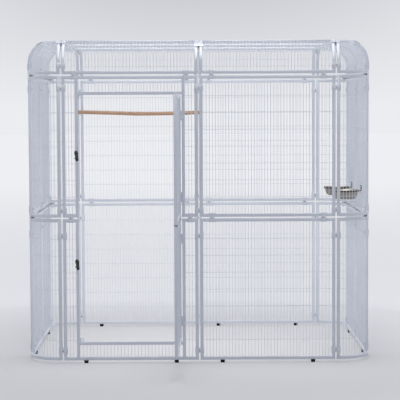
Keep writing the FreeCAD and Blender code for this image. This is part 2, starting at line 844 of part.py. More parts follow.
# The origin lies on the floor under the middle of the cage with its door open
bounds = Part.makeCompound([solid for solids in nodes.values() for solid in solids]).BoundBox
to_origin = Vector(-(bounds.XMin + bounds.XMax) / 2, -(bounds.YMin + bounds.YMax) / 2, 0)

os.makedirs("parts", exist_ok=True)
for name, solids in nodes.items():
    shape = solids[0] if len(solids) == 1 else Part.makeCompound(solids)
    shape.translate(to_origin)
    shape.exportStep(f"parts/{name}.step")
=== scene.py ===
import math
from functools import partial

import bpy
from mathutils import Euler, Matrix, Vector


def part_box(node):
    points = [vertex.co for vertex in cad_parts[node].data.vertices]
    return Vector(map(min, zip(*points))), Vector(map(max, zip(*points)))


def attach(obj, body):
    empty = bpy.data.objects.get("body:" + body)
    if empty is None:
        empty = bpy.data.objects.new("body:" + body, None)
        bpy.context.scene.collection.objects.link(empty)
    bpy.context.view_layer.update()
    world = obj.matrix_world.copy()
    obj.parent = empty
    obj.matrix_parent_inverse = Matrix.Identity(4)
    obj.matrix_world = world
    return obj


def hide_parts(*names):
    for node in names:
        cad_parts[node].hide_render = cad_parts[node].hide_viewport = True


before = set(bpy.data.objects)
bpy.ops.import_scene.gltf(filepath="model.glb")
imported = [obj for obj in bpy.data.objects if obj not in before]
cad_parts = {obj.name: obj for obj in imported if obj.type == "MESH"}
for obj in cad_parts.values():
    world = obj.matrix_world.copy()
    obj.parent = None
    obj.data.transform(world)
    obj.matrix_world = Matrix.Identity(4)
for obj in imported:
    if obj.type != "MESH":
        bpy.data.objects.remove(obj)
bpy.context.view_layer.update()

mm = 0.001
quarter = math.pi / 2
alongX = Vector((1, 0, 0))
alongY = Vector((0, 1, 0))
up = Vector((0, 0, 1))
standing = (quarter, 0, 0)
roundSides, studSides = 24, 28


def inMetres(sizes):
    return {key: value * mm for key, value in sizes.items()}


# Outer sizes of the cage, which every piece below is set against
cage = inMetres({
    "halfWidth": 1085, "halfDepth": 787.5, "height": 2032,
    "cornerRadius": 220, "roofRadius": 140,
    "tube": 20, "gap": 10, "footHeight": 17,
    "middleJoint": 915, "roofJoint": 1810,
})
tube = cage["tube"]
halfGap = cage["gap"] / 2
halfWidth, halfDepth = cage["halfWidth"], cage["halfDepth"]
cornerRadius, roofRadius = cage["cornerRadius"], cage["roofRadius"]
middleJoint, roofJoint, ridge = cage["middleJoint"], cage["roofJoint"], cage["height"]
cornerX = halfWidth - cornerRadius
cornerY = halfDepth - cornerRadius
jointX = cornerX - halfGap
jointY = cornerY - halfGap
bendRadius = cornerRadius - tube
archHeight = ridge - roofRadius
roofStart = roofJoint + halfGap
tiers = {
    "lower": (cage["footHeight"], middleJoint - halfGap),
    "upper": (middleJoint + halfGap, roofJoint - halfGap),
}
# Each wall's turn about Z, its distance and the joint at the end of its bays
walls = {
    "front": (0, halfDepth, jointX), "right": (90, halfWidth, jointY),
    "back": (180, halfDepth, jointX), "left": (-90, halfWidth, jointY),
}
bayNames = {
    "front": ("left", "right"), "right": ("front", "back"),
    "back": ("right", "left"), "left": ("back", "front"),
}
corners = {
    "front": ((0, cornerX, -cornerY), (-90, -cornerX, -cornerY)),
    "back": ((90, cornerX, cornerY), (180, -cornerX, cornerY)),
}
# The CAD frame's origin lies under the middle of the cage with its door open
toOrigin = Vector((0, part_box("front_right_lower_panel")[0].y + halfDepth, 0))

# How far the edges of the small parts are rounded
softened = inMetres({
    "dish": 0.4, "turned": 0.5, "plate": 0.6, "pressed": 0.7, "cast": 0.8, "wing": 1.2, "knob": 1.6,
})


def selectOnly(*pieces):
    bpy.ops.object.select_all(action="DESELECT")
    for piece in pieces:
        piece.select_set(True)
    bpy.context.view_layer.objects.active = pieces[0]


def selectMesh(action="SELECT"):
    bpy.ops.mesh.select_all(action=action)


def enterEdit():
    bpy.ops.object.mode_set(mode="EDIT")


def startEdit(piece, mode="FACE"):
    selectOnly(piece)
    enterEdit()
    bpy.ops.mesh.select_mode(type=mode)
    selectMesh()


def stopEdit():
    bpy.ops.object.mode_set(mode="OBJECT")


def applyPlace(piece):
    selectOnly(piece)
    bpy.ops.object.transform_apply(location=True, rotation=True, scale=True)
    return piece


def placePiece(piece, place):
    piece.matrix_world = place
    return applyPlace(piece)


# The piece that was added last, stretched and with its place applied
def addedPiece(scale=(1, 1, 1)):
    piece = bpy.context.object
    piece.scale = scale
    return applyPlace(piece)


def moved(offset):
    return Matrix.Translation(offset)


def turned(angle, axis="Z"):
    return Matrix.Rotation(math.radians(angle), 4, axis)


def turnedAbout(point, angle, axis="Z"):
    return moved(point) @ turned(angle, axis) @ moved(-Vector(point))


def facing(direction):
    return Vector(direction).to_track_quat("Z", "Y").to_euler()


def selectFaces(piece, test):
    selectMesh("DESELECT")
    stopEdit()
    for face in piece.data.polygons:
        face.select = test(face)
    enterEdit()


def closeShell():
    selectMesh()
    bpy.ops.mesh.remove_doubles(threshold=0.01 * mm)
    bpy.ops.mesh.fill_holes(sides=0)
    selectMesh()
    bpy.ops.mesh.normals_make_consistent(inside=False)
    stopEdit()


def addModifier(piece, kind, **settings):
    modifier = piece.modifiers.new(kind.title(), kind)
    for key, value in settings.items():
        setattr(modifier, key, value)
    selectOnly(piece)
    bpy.ops.object.modifier_apply(modifier=modifier.name)
    return piece


def roundEdges(piece, width, segments=2, limit=40):
    return addModifier(
        piece, "BEVEL", width=width, segments=segments, limit_method="ANGLE",
        angle_limit=math.radians(limit), use_clamp_overlap=True,
    )


def repeatPiece(piece, count, step):
    return addModifier(
        piece, "ARRAY", count=count, use_relative_offset=False, use_constant_offset=True,
        constant_offset_displace=step,
    )


def removePiece(*pieces):
    for piece in pieces:
        bpy.data.objects.remove(piece)


def cutAway(piece, cutter):
    addModifier(piece, "BOOLEAN", operation="DIFFERENCE", object=cutter, solver="EXACT")
    removePiece(cutter)


def joinPieces(pieces):
    selectOnly(*pieces)
    if len(pieces) > 1:
        bpy.ops.object.join()
    return bpy.context.view_layer.objects.active


def copyPiece(piece, move=(0, 0, 0)):
    selectOnly(piece)
    bpy.ops.object.duplicate(linked=False)
    copy = bpy.context.view_layer.objects.active
    copy.location = move
    return applyPlace(copy)


def wallPlace(wall):
    turn, distance, _ = walls[wall]
    return turned(turn) @ moved((0, -distance, 0))


def inWall(piece, wall="front"):
    return placePiece(piece, wallPlace(wall))


def cornerPlace(turn, x, y):
    return moved((x, y, 0)) @ turned(turn)


# Hands a finished piece to the frame: its place, finish and body, and the node it stands for
def finishPiece(piece, node, made="", slotName="frame_coat", body="cage", material=None, smooth=35):
    piece.name = piece.data.name = f"{node}_{made}" if made else node
    piece.location = toOrigin
    applyPlace(piece)
    bpy.ops.object.shade_smooth_by_angle(angle=math.radians(smooth))
    piece.data.materials.clear()
    piece.data.materials.append(material or finishes[slotName])
    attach(piece, body)
    if made:
        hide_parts(node)


def box(xSpan, ySpan, zSpan, edge=0):
    spans = (xSpan, ySpan, zSpan)
    bpy.ops.mesh.primitive_cube_add(size=1, location=[(low + high) / 2 for low, high in spans])
    piece = addedPiece([high - low for low, high in spans])
    return roundEdges(piece, edge) if edge else piece


def rod(start, end, radius, sides, edge=0):
    start, end = Vector(start), Vector(end)
    run = end - start
    bpy.ops.mesh.primitive_cylinder_add(
        vertices=sides, radius=radius, depth=run.length, location=(start + end) / 2,
        rotation=facing(run),
    )
    piece = addedPiece()
    return roundEdges(piece, edge) if edge else piece


# Turned parts on one axis, each with its near and far end, radius, sides and rounding
def spindle(centre, axis, *parts):
    centre = Vector(centre)
    return [rod(centre + axis * near, centre + axis * far, *sizes) for near, far, *sizes in parts]


def sheet(centre, size, turn=(0, 0, 0)):
    bpy.ops.mesh.primitive_plane_add(size=1, location=centre, rotation=turn)
    return addedPiece((*size, 1))


# Sheet with its corners cut round, ready to be pulled
def roundSheet(centre, size, turn, corner, segments):
    piece = sheet(centre, size, turn)
    startEdit(piece)
    bpy.ops.mesh.bevel(offset=corner, segments=segments, affect="VERTICES")
    selectMesh()
    return piece


# Disc or bare ring, ready to be pulled
def disc(centre, radius, sides, turn=(0, 0, 0), fill="NGON", mode="FACE"):
    bpy.ops.mesh.primitive_circle_add(
        vertices=sides, radius=radius, fill_type=fill, location=centre, rotation=turn,
    )
    piece = addedPiece()
    startEdit(piece, mode)
    return piece


def pull(value):
    bpy.ops.mesh.extrude_region_move(TRANSFORM_OT_translate={"value": value})


def widen(value, centre):
    bpy.ops.transform.resize(value=value, center_override=centre)


# Blender's spin turns against the right-hand rule, so the angle is negated
def bend(centre, axis, turn, steps):
    bpy.ops.mesh.spin(steps=steps, angle=-turn, center=centre, axis=axis)


def toLinear(hexText):
    channels = [int(hexText[i:i + 2], 16) / 255 for i in (1, 3, 5)]
    return [c / 12.92 if c <= 0.04045 else ((c + 0.055) / 1.055) ** 2.4 for c in channels] + [1]


# A value is another node's first output, a socket, a colour in hex, or what the socket holds
def setInputs(node, inputs):
    for key, value in inputs.items():
        if isinstance(value, bpy.types.Node):
            value = next(socket for socket in value.outputs if socket.enabled)
        if isinstance(value, bpy.types.NodeSocket):
            node.id_data.links.new(value, node.inputs[key])
        else:
            node.inputs[key].default_value = toLinear(value) if isinstance(value, str) else value


def addNode(tree, kind, inputs={}, **settings):
    node = tree.nodes.new(f"ShaderNode{kind}")
    for key, value in settings.items():
        setattr(node, key, value)
    setInputs(node, inputs)
    return node


def newFinish(name):
    material = bpy.data.materials.new(name)
    material.use_nodes = True
    tree = material.node_tree
    add = partial(addNode, tree)
    return material, add, tree.nodes["Principled BSDF"], add("TexCoord").outputs["Object"]


# What the finishes share: two colours mixed by one pattern and a fine relief from another
def dress(finish, look, pattern, relief, deep, rough, **more):
    material, add, shader, _ = finish
    paint = add("Mix", {"Factor": pattern, "A": look["main"], "B": look["other"]}, data_type="RGBA")
    bump = add("Bump", {"Height": relief, "Strength": look["bump"], "Distance": deep * mm})
    setInputs(shader, {"Base Color": paint, "Roughness": rough, "Normal": bump, **more})
    return material


# Powder coat on steel tube: fine orange peel, a soft sheen, and a slightly uneven film
def powderCoat():
    look = {
        "main": "#E7EAF0", "other": "#D9DDE5", "patch": 160 * mm, "bump": 0.05,
        # real peel is about 1 mm across; 4 mm is the finest that still shows
        "peel": 4 * mm, "smooth": 0.28, "rough": 0.38,
    }
    _, add, _, place = finish = newFinish("powderCoat")
    patches = add("TexNoise", {
        "Vector": place, "Scale": 1 / look["patch"], "Detail": 3.0, "Roughness": 0.6,
    })
    peel = add("TexNoise", {"Vector": place, "Scale": 1 / look["peel"], "Detail": 2.0})
    sheen = add("MapRange", {"Value": patches, "To Min": look["smooth"], "To Max": look["rough"]})
    return dress(finish, look, patches, peel, 0.3, sheen, IOR=1.5)


# Baked black enamel over a cast or pressed part: nearly smooth, with a worn grey bloom
def blackEnamel(name, grain):
    look = {"main": "#17181B", "other": "#3A3C42", "rough": 0.36, "bloom": 12 * mm, "bump": 0.12}
    _, add, _, place = finish = newFinish(name)
    cloud = add("TexNoise", {
        "Vector": place, "Scale": 1 / look["bloom"], "Detail": 4.0, "Roughness": 0.65,
    })
    spread = add("MapRange", {"Value": cloud, "From Min": 0.5, "From Max": 0.75, "To Max": 0.8})
    cast = add("TexNoise", {"Vector": place, "Scale": 1 / (grain * mm), "Detail": 2.0})
    return dress(finish, look, spread, cast, 0.2, look["rough"], IOR=1.5)


# Moulded rubber: dull, dusty black with a fine matt tooth
def mouldedRubber():
    look = {
        "main": "#08070A", "other": "#151418", "dust": 9 * mm, "tooth": 1.5 * mm, "bump": 0.25,
        "rough": 0.85, "sheen": 0.15,
    }
    _, add, _, place = finish = newFinish("mouldedRubber")
    dust = add("TexNoise", {"Vector": place, "Scale": 1 / look["dust"], "Detail": 5.0})
    tooth = add("TexNoise", {"Vector": place, "Scale": 1 / look["tooth"]})
    sheen = {"Specular IOR Level": look["sheen"], "IOR": 1.5}
    return dress(finish, look, dust, tooth, 0.2, look["rough"], **sheen)


# Zinc-plated steel: bright, faintly mottled crystals
def zincPlate(name, main, other, rough):
    look = {"crystal": 3 * mm}
    material, add, shader, place = newFinish(name)
    spangle = add("TexVoronoi", {"Vector": place, "Scale": 1 / look["crystal"]})
    mottled = add("Mix", {"Factor": spangle, "A": main, "B": other}, data_type="RGBA")
    setInputs(shader, {"Base Color": mottled, "Metallic": 1.0, "Roughness": rough})
    return material


# Spun stainless steel: fine rings about the bowl's own axis, left by the spinning tool
def spunStainless(name, centre):
    look = {
        "main": "#A8A39D", "other": "#8B867F", "ring": 1.6 * mm, "smooth": 0.54, "rough": 0.66,
        "bump": 0.12,
    }
    _, add, _, place = finish = newFinish(name)
    own = add("Mapping", {"Vector": place, "Location": -centre})
    rings = add("TexWave", {
        "Vector": own, "Scale": 0.314 / look["ring"], "Distortion": 0.6, "Detail": 2.0,
    }, wave_type="RINGS", rings_direction="Z")
    heights = add("SeparateXYZ", {"Vector": own})
    lathe = add("CombineXYZ", {"Z": heights.outputs["Z"]})
    streaks = add("TexNoise", {"Vector": lathe, "Scale": 1 / look["ring"], "Detail": 3.0})
    both = add("Math", {0: rings.outputs["Fac"], 1: streaks}, operation="MULTIPLY")
    sheen = add("MapRange", {"Value": both, "To Min": look["smooth"], "To Max": look["rough"]})
    return dress(finish, look, both, both, 0.1, sheen, Metallic=1.0)


# Peeled hardwood branch: long grain along it, darker streaks, small dark knots, a dry surface
def peeledBranch():
    look = {
        "light": "#D2AC8A", "dark": "#A37C61", "knot": "#6B4A33", "stretch": (0.06, 1, 1),
        "grain": 2.5 * mm, "broad": 14 * mm, "knots": 11 * mm, "bump": 0.35, "rough": 0.62,
    }
    material, add, shader, place = newFinish("peeledBranch")
    stretched = add("Mapping", {"Vector": place, "Scale": look["stretch"]})
    grain = add("TexNoise", {
        "Vector": stretched, "Scale": 1 / look["grain"], "Detail": 6.0, "Roughness": 0.6,
        "Distortion": 0.4,
    })
    broad = add("TexNoise", {"Vector": stretched, "Scale": 1 / look["broad"], "Detail": 2.0})
    spread = add("MapRange", {"Value": grain, "From Min": 0.35, "From Max": 0.68})
    wood = add("Mix", {"Factor": spread, "A": look["light"], "B": look["dark"]}, data_type="RGBA")
    cells = add("TexVoronoi", {"Vector": stretched, "Scale": 1 / look["knots"]})
    knots = add("MapRange", {
        "Value": cells, "From Min": 0.06, "From Max": 0.16, "To Min": 0.75, "To Max": 0.0,
    })
    stained = add("Mix", {"Factor": knots, "A": wood, "B": look["knot"]}, data_type="RGBA")
    both = add("Math", {0: grain, 1: broad}, operation="ADD")
    bump = add("Bump", {"Height": both, "Strength": look["bump"], "Distance": 0.6 * mm})
    setInputs(shader, {
        "Base Color": stained, "Roughness": look["rough"], "Normal": bump, "IOR": 1.5,
    })
    return material


finishes = {
    "frame_coat": powderCoat(), "latch_black": blackEnamel("blackEnamel", 3.0),
    "foot_rubber": mouldedRubber(), "perch_wood": peeledBranch(),
    "bolt_steel": zincPlate("zincPlate", "#B9BBBF", "#D2D4D6", 0.32),
    "holder_black": blackEnamel("holderEnamel", 2.0),
}
boltZinc = zincPlate("screwZinc", "#9498A2", "#A8ACB5", 0.4)
print("finishes made")

tubing = {"edge": 2.2 * mm, "segments": 2}
wires = inMetres({"radius": 1.15, "bite": 1.5, "depth": 8.9, "crossDepth": 11.0})
wireSides = 6
bite, wireDepth, crossDepth = wires["bite"], wires["depth"], wires["crossDepth"]


def tubeProfile(centre, direction):
    return roundSheet(centre, (tube, tube), facing(direction), tubing["edge"], tubing["segments"])


def wireProfile(centre, direction):
    return disc(centre, wires["radius"], wireSides, facing(direction))


def tubeBox(xSpan, ySpan, zSpan):
    return box(xSpan, ySpan, zSpan, tubing["edge"])


def wire(start, end):
    return rod(start, end, wires["radius"], wireSides)


# Flat frame of tube: one sheet, cut along the windows, emptied, thickened and rounded
def tubeFrame(outline, windows):
    left, right, bottom, top = outline
    middle = ((left + right) / 2, 0, (bottom + top) / 2)
    piece = sheet(middle, (right - left, top - bottom), standing)
    startEdit(piece)
    for axis, ends in ((alongX, slice(0, 2)), (up, slice(2, 4))):
        for cut in sorted({edge for window in windows for edge in window[ends]}):
            selectMesh()
            bpy.ops.mesh.bisect(plane_co=axis * cut, plane_no=axis)

    def inWindow(face):
        x, _, z = face.center
        return any(w[0] < x < w[1] and w[2] < z < w[3] for w in windows)

    selectFaces(piece, inWindow)
    bpy.ops.mesh.delete(type="FACE")
    selectMesh()
    bpy.ops.mesh.dissolve_limited(angle_limit=math.radians(1), delimit=set())
    selectMesh()
    pull((0, tube, 0))
    closeShell()
    return roundEdges(piece, tubing["edge"], tubing["segments"])


# Uprights in front and cross wires behind them, welded to each other and into the frame
def meshIn(window, columns, rows):
    left, right, bottom, top = window
    pitch = (right - left) / columns
    x = left + pitch
    upright = wire((x, wireDepth, bottom - bite), (x, wireDepth, top + bite))
    parts = [repeatPiece(upright, columns - 1, (pitch, 0, 0))]
    if rows > 1:
        pitch = (top - bottom) / rows
        z = bottom + pitch
        cross = wire((left - bite, crossDepth, z), (right + bite, crossDepth, z))
        parts.append(repeatPiece(cross, rows - 1, (0, 0, pitch)))
    return parts


def flatPanel(outline, columns, rows):
    left, right, bottom, top = outline
    window = (left + tube, right - tube, bottom + tube, top - tube)
    return joinPieces([tubeFrame(outline, [window]), *meshIn(window, columns, rows)])


# Wall panels: spaces across a bay of each length, and rows of a tier
wallMesh = {"long": 40, "short": 25, "rows": 8}
for wall, names in bayNames.items():
    joint = walls[wall][2]
    columns = wallMesh["long" if wall in ("front", "back") else "short"]
    for tier, span in tiers.items():
        template = flatPanel((halfGap, joint - halfGap, *span), columns, wallMesh["rows"])
        for name, move in zip(names, (-joint, 0)):
            if (wall, name) != ("front", "left"):  # the door bay stands there
                panel = inWall(copyPiece(template, (move, 0, 0)), wall)
                finishPiece(panel, f"{wall}_{name}_{tier}_panel", "welded")
        removePiece(template)
print("wall panels welded")

door = inMetres({
    "left": -753.5, "right": -106.5, "sill": 134, "lintel": 1686, "strip": 61.5,
    "sideGap": 3.5, "endGap": 6, "forward": 0.3, "axisForward": 5,
})
doorMesh = {"strip": 3, "beam": 30, "leaf": 30, "rows": 8}
openAngle = 88.5
hingeX, hingeY = door["right"] - door["sideGap"] / 2, -door["axisForward"]
leafLeft, leafRight = door["left"] + door["sideGap"], door["right"] - door["sideGap"]
leafFace = -door["forward"]
leafSpans = {
    "lower": (door["sill"] + door["endGap"], tiers["lower"][1]),
    "upper": (tiers["upper"][0], door["lintel"] - door["endGap"]),
}
hinge = inMetres({
    "radius": 4.5, "height": 30, "gap": 0.5, "pin": 2.5, "play": 0.05, "tip": 2,
    "lug": 16, "lugThick": 1.7, "inset": 95, "edge": 0.5,
})
lugShare = 0.6  # how far out of the barrel's radius the lug starts


def hingeHeights(tier):
    bottom, top = leafSpans[tier]
    return (bottom + hinge["inset"], top - hinge["inset"] - 2 * hinge["height"])


# Rolled barrel with the lug that is welded on the tube beside it
def hingeBarrel(bottom, side, faceY, bore=0):
    low, top = (hingeX, hingeY, bottom), bottom + hinge["height"]
    if bore:
        barrel = disc(low, bore, roundSides, fill="NOTHING", mode="EDGE")
        outward = hinge["radius"] / bore
        bpy.ops.mesh.extrude_edges_move()
        widen((outward, outward, 1), low)
        selectMesh()
        pull((0, 0, hinge["height"]))
        closeShell()
        roundEdges(barrel, hinge["edge"], 1)
    else:
        barrel = rod(low, (hingeX, hingeY, top), hinge["radius"], roundSides, hinge["edge"])
    reach = sorted((hingeX + side * hinge["radius"] * lugShare, hingeX + side * hinge["lug"]))
    lug = box(reach, (faceY - hinge["lugThick"], faceY), (bottom, top), hinge["edge"])
    return [barrel, lug]


# Half of the door bay: one frame round the doorway, a beam beyond it and a strip at each side
def doorBay(tier):
    left, right = -jointX + halfGap, -halfGap
    bottom, top = tiers[tier]
    past = 2 * tube  # takes the doorway through the end where the halves meet
    spans = {
        "lower": ((door["sill"], top + past), (bottom + tube, door["sill"] - tube)),
        "upper": ((bottom - past, door["lintel"]), (door["lintel"] + tube, top - tube)),
    }[tier]
    doorway, beam = [(door["left"], door["right"], *span) for span in spans]
    strips = [
        (*xSpan, bottom + tube, top - tube)
        for xSpan in ((left + tube, door["left"] - tube), (door["right"] + tube, right - tube))
    ]
    parts = [tubeFrame((left, right, bottom, top), [doorway, beam, *strips])]
    parts += meshIn(beam, doorMesh["beam"], 1)
    for strip in strips:
        parts += meshIn(strip, doorMesh["strip"], doorMesh["rows"])
    for height in hingeHeights(tier):
        low = (hingeX, hingeY, height + hinge["height"] - mm)
        high = (hingeX, hingeY, height + 2 * hinge["height"] + hinge["gap"] + hinge["tip"])
        parts += hingeBarrel(height, 1, 0)
        parts.append(rod(low, high, hinge["pin"], roundSides, softened["plate"]))
    return joinPieces(parts)


def doorLeaf(tier):
    panel = flatPanel((leafLeft, leafRight, *leafSpans[tier]), doorMesh["leaf"], doorMesh["rows"])
    parts = [placePiece(panel, moved((0, leafFace, 0)))]
    for height in hingeHeights(tier):
        bottom = height + hinge["height"] + hinge["gap"]
        parts += hingeBarrel(bottom, -1, leafFace, hinge["pin"] + hinge["play"])
    return joinPieces(parts)


# Turns what was built in the shut leaf's place to the open leaf's
leafPlace = (
    turnedAbout((hingeX, -halfDepth + hingeY, 0), openAngle) @ moved((0, -halfDepth, 0))
)
for tier in tiers:
    finishPiece(inWall(doorBay(tier)), f"door_bay_{tier}_panel", "welded")
    leaf = placePiece(doorLeaf(tier), leafPlace)
    finishPiece(leaf, f"door_leaf_{tier}_panel", "welded", body="door")
print("door bay and leaf welded")

cornerMesh = {"spaces": 15, "rows": 8, "steps": 16, "wireSteps": 10}
bendCentre = Vector((tube, -tube, 0))


# Level tube or wire, bent a quarter turn from the front post to the side post
def bentLevel(profile, radius, z, lead, steps):
    piece = profile(bendCentre + Vector((-lead, -radius, z)), alongX)
    pull((lead, 0, 0))
    bend(bendCentre + up * z, up, quarter, steps)
    pull((0, lead, 0))
    closeShell()
    return piece


def bentRail(z):
    middle = tube / 2
    return bentLevel(tubeProfile, bendRadius - middle, z + middle, 0.5 * mm, cornerMesh["steps"])


def bentWire(radius, z):
    return bentLevel(wireProfile, radius, z, bite, cornerMesh["wireSteps"])


def cornerPanel(bottom, top):
    spaces = cornerMesh["spaces"]
    turn = quarter / spaces
    radius = bendRadius - wireDepth
    first = bendCentre + Vector((radius * math.sin(turn), -radius * math.cos(turn), 0))
    upright = wire(first + up * (bottom + tube - bite), first + up * (top - tube + bite))
    startEdit(upright)
    bpy.ops.mesh.spin(
        steps=spaces - 2, dupli=True, angle=-turn * (spaces - 2), center=bendCentre, axis=up,
    )
    stopEdit()
    parts = [
        tubeBox((0, tube), (-cornerRadius, -bendRadius), (bottom, top)),
        tubeBox((bendRadius, cornerRadius), (-tube, 0), (bottom, top)),
        bentRail(bottom), bentRail(top - tube), upright,
    ]
    pitch = (top - bottom - 2 * tube) / cornerMesh["rows"]
    for row in range(1, cornerMesh["rows"]):
        parts.append(bentWire(bendRadius - crossDepth, bottom + tube + row * pitch))
    return joinPieces(parts)


# Sets a corner's template on the four corners, as a front pair and a back pair
def finishCorners(template, before, after):
    for end, places in corners.items():
        pair = [placePiece(copyPiece(template), cornerPlace(*place)) for place in places]
        finishPiece(joinPieces(pair), before + end + after, "welded")
    removePiece(template)


for tier, span in tiers.items():
    finishCorners(cornerPanel(*span), "", f"_{tier}_corners")
print("corner panels welded")

roofMesh = {
    "long": 38, "short": 24, "level": 5, "steps": 12,
    "crossStart": 26 * mm, "crossPitch": 94 * mm, "crossCount": 3,
}


# Tube or wire that climbs straight, bends a quarter turn and runs level to the roof
def arched(profile, depth, x, start, reach):
    piece = profile(Vector((x, depth, start)), up)
    pull((0, 0, archHeight - start))
    bend((x, roofRadius, archHeight), alongX, -quarter, roofMesh["steps"])
    pull((0, reach - roofRadius, 0))
    closeShell()
    return piece


# Depth and height of the cross wires, which lie at even lengths along the bent ones
def roofWires():
    rise = archHeight - roofStart - tube
    radius = roofRadius - crossDepth
    places = []
    for i in range(roofMesh["crossCount"]):
        length = roofMesh["crossStart"] + i * roofMesh["crossPitch"]
        turn = min((length - rise) / radius, quarter)
        places.append(
            (crossDepth, roofStart + tube + length) if length <= rise else
            (roofRadius - radius * math.cos(turn), archHeight + radius * math.sin(turn))
        )
    return places


def roofEdge(left, right, columns):
    middle = tube / 2
    rail = (left + tube - mm, right - tube + mm)
    parts = [
        arched(tubeProfile, middle, x, roofStart, cornerRadius)
        for x in (left + middle, right - middle)
    ]
    pitch = (right - left - 2 * tube) / columns
    start = roofStart + tube - bite
    upright = arched(wireProfile, wireDepth, left + tube + pitch, start, bendRadius + bite)
    parts += [
        tubeBox(rail, (0, tube), (roofStart, roofStart + tube)),
        tubeBox(rail, (bendRadius, cornerRadius), (ridge - tube, ridge)),
        repeatPiece(upright, columns - 1, (pitch, 0, 0)),
    ]
    for y, z in roofWires():
        parts.append(wire((left + tube - bite, y, z), (right - tube + bite, y, z)))
    return joinPieces(parts)


for length, wallPair in {"long": ("front", "back"), "short": ("right", "left")}.items():
    joint = walls[wallPair[0]][2]
    template = roofEdge(halfGap, joint - halfGap, roofMesh[length])
    edges = [
        inWall(copyPiece(template, (move, 0, 0)), wall)
        for wall in wallPair for move in (-joint, 0)
    ]
    removePiece(template)
    finishPiece(joinPieces(edges), f"roof_{length}_edges", "welded")

# every third wire of a cap runs on until just short of the cap's axis
capMesh = {"spaces": 15, "through": 3, "steps": 8, "short": 6 * mm}


# Wire of a corner cap: up from the bent rail and over towards the cap's own axis
def capWire(angle, full):
    radius = roofRadius - wireDepth
    reach = bendRadius - wireDepth
    start = roofStart + tube - bite
    piece = wireProfile(bendCentre + Vector((0, -reach, start)), up)
    pull((0, 0, archHeight - start))
    pivot = bendCentre + Vector((0, radius - reach, archHeight))
    bend(pivot, alongX, -quarter, capMesh["steps"])
    if full:
        pull((0, reach - radius - capMesh["short"], 0))
    closeShell()
    return placePiece(piece, turnedAbout(bendCentre, angle))


def cornerCap():
    middle = tube / 2
    toSide = moved((0, -cornerRadius, 0))
    parts = []
    for x, place in ((middle, toSide), (-middle, turned(90) @ toSide)):
        arch = arched(tubeProfile, middle, x, roofStart, cornerRadius - 2 * mm)
        parts.append(placePiece(arch, place))
    parts += [tubeBox((0, tube), (-tube, 0), (ridge - tube, ridge)), bentRail(roofStart)]
    spaces = capMesh["spaces"]
    for i in range(1, spaces):
        parts.append(capWire(90 * i / spaces, i % capMesh["through"] == 0))
    parts += [bentWire(bendRadius - y, z) for y, z in roofWires()]
    parts.append(bentWire(bendRadius - roofRadius + wires["radius"], ridge - crossDepth))
    return joinPieces(parts)


finishCorners(cornerCap(), "roof_", "_corners")

# Level panels: built standing like a wall panel, then laid with the face upwards
outline = (halfGap, jointX - halfGap, halfGap, jointY - halfGap)
template = flatPanel(outline, wallMesh["long"], roofMesh["level"])
placePiece(template, moved((0, 0, ridge)) @ turned(-90, "X"))
for side, x in (("left", -jointX), ("right", 0)):
    for end, y in (("front", -jointY), ("back", 0)):
        finishPiece(copyPiece(template, (x, y, 0)), f"roof_top_{end}_{side}_panel", "welded")
removePiece(template)
print("roof welded")

clamp = inMetres({
    "width": 56, "height": 42, "waist": 27, "thick": 2.5, "inset": 75,
    "aboveFloor": 60, "belowMiddle": 114, "aboveMiddle": 45, "belowRoof": 83, "aboveRoof": 56,
    "boltHead": 4.6, "headHeight": 1.2, "shank": 2.9, "shankEnd": 3, "sink": 0.2,
    "nut": 5, "nutHeight": 2.4, "short": 4,
})
# How far up the arches of a wall's left, middle and right roof joint its plate sits
archTurns = (63, 49, 63)
# How far round a corner's bend its plates sit, nearer the side wall
cornerBend = 67


# Pressed bow-tie plate, standing on the face at the given depth
def bowTie(along=False, y=0, side=-1):
    bpy.ops.mesh.primitive_grid_add(
        x_subdivisions=4, y_subdivisions=1, size=1, rotation=standing,
    )
    plate = addedPiece((clamp["width"], clamp["height"], 1))
    for vertex in plate.data.vertices:
        if abs(vertex.co.x) < mm:
            vertex.co.z *= clamp["waist"] / clamp["height"]
    startEdit(plate)
    pull((0, side * clamp["thick"], 0))
    closeShell()
    roundEdges(plate, softened["pressed"])
    return placePiece(plate, moved((0, y, 0)) @ turned(90 if along else 0, "Y"))


# Button-headed screw from the outer face, with its nut at the given depth
def clampBolt(depth):
    face, sink = -clamp["thick"], clamp["sink"]
    return joinPieces(spindle(
        (0, 0, 0), alongY,
        (face - clamp["headHeight"], face + sink, clamp["boltHead"], 16, softened["turned"]),
        (face, depth + clamp["shankEnd"], clamp["shank"], 8),
        (depth - sink, depth + clamp["nutHeight"], clamp["nut"], 6, softened["dish"]),
    ))


# Places of a wall's plates, each with its kind
def wallClampPlaces(wall):
    spacing = walls[wall][2]
    joints = (-spacing, 0, spacing)
    heights = (
        cage["footHeight"] + clamp["aboveFloor"], middleJoint - clamp["belowMiddle"],
        middleJoint + clamp["aboveMiddle"], roofJoint - clamp["belowRoof"],
        roofJoint + clamp["aboveRoof"],
    )
    places = [
        (moved((x, 0, z)), "across") for x in joints for z in heights
        # the door side has no plate on the middle roof joint's foot
        if (wall, x, z) != ("front", 0, heights[-1])
    ]
    for left, right in ((-spacing + halfGap, -halfGap), (halfGap, spacing - halfGap)):
        for z in (middleJoint, roofJoint):
            byDoor = wall == "front" and right < 0 and z == middleJoint
            inset = tube + door["strip"] / 2 if byDoor else clamp["inset"]
            places += [(moved((x, 0, z)), "along") for x in (left + inset, right - inset)]
    onFace = moved((0, -roofRadius, 0))
    for x, archTurn in zip(joints, archTurns):
        arch = moved((x, roofRadius, archHeight)) @ turned(-archTurn, "X") @ onFace
        places.append((arch, "across"))
    return [(wallPlace(wall) @ place, kind) for place, kind in places]


